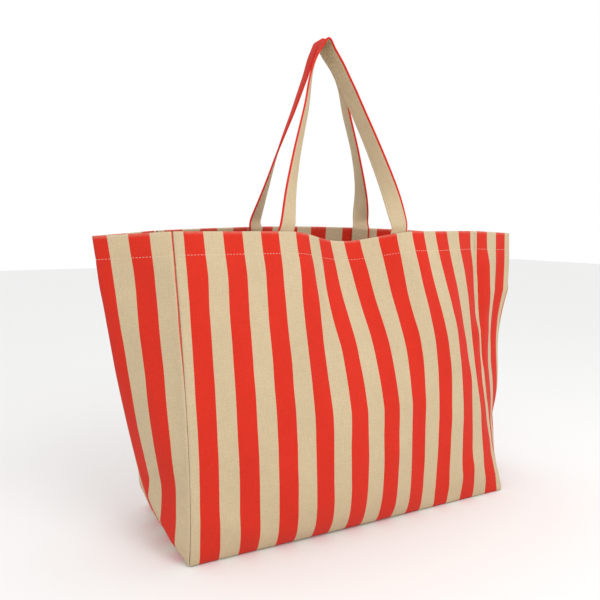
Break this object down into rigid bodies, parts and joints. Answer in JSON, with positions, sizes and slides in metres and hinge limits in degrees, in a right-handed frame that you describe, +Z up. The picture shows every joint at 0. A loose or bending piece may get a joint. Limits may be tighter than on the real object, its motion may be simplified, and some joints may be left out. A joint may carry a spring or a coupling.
{
  "type": "tote bag",
  "caption": "Large open striped canvas tote bag with a flat base, folding end panels, a turned-in hem and paired strap handles.",
  "frame": {"origin": "on the floor under the middle of the bag's overall box", "axes": "+Z up, the front panel faces -Y, +X to the right seen from the front"},
  "size_m": [0.6772, 0.2374, 0.6634],
  "materials": {
    "canvas": "matte plain-weave cotton canvas, red and cream stripes",
    "strap": "matte folded cotton canvas, cream with a red edge",
    "binding": "matte cotton tape",
    "thread": "cotton sewing thread"
  },
  "bodies": {
    "bag": {"front_panel": "canvas", "back_panel": "canvas", "left_end_panel": "canvas", "right_end_panel": "canvas", "bottom_panel": "canvas", "front_hem": "canvas", "front_hem_stitch": "thread", "back_hem": "canvas", "back_hem_stitch": "thread", "left_end_hem": "canvas", "left_end_hem_stitch": "thread", "right_end_hem": "canvas", "right_end_hem_stitch": "thread", "front_handle_left_end": "strap", "front_handle_left_tack": "thread", "front_handle_right_end": "strap", "front_handle_right_tack": "thread", "back_handle_left_end": "strap", "back_handle_left_tack": "thread", "back_handle_right_end": "strap", "back_handle_right_tack": "thread", "front_left_seam_binding": "binding", "front_right_seam_binding": "binding", "back_left_seam_binding": "binding", "back_right_seam_binding": "binding", "front_base_binding": "binding", "back_base_binding": "binding", "left_end_base_binding": "binding", "right_end_base_binding": "binding"},
    "front_loop": {"front_handle": "strap"},
    "back_loop": {"back_handle": "strap"}
  },
  "joints": [
    {"name": "front_handle_swing", "type": "hinge", "parent": "bag", "child": "front_loop", "pos_m": [-0.10403, -0.05307, 0.40849], "axis": [0.9983, 0.0562, -0.0119], "range_deg": [0, 150]},
    {"name": "back_handle_swing", "type": "hinge", "parent": "bag", "child": "back_loop", "pos_m": [-0.10559, 0.06258, 0.41486], "axis": [-0.9997, -0.0209, 0.0098], "range_deg": [0, 130]}
  ]
}
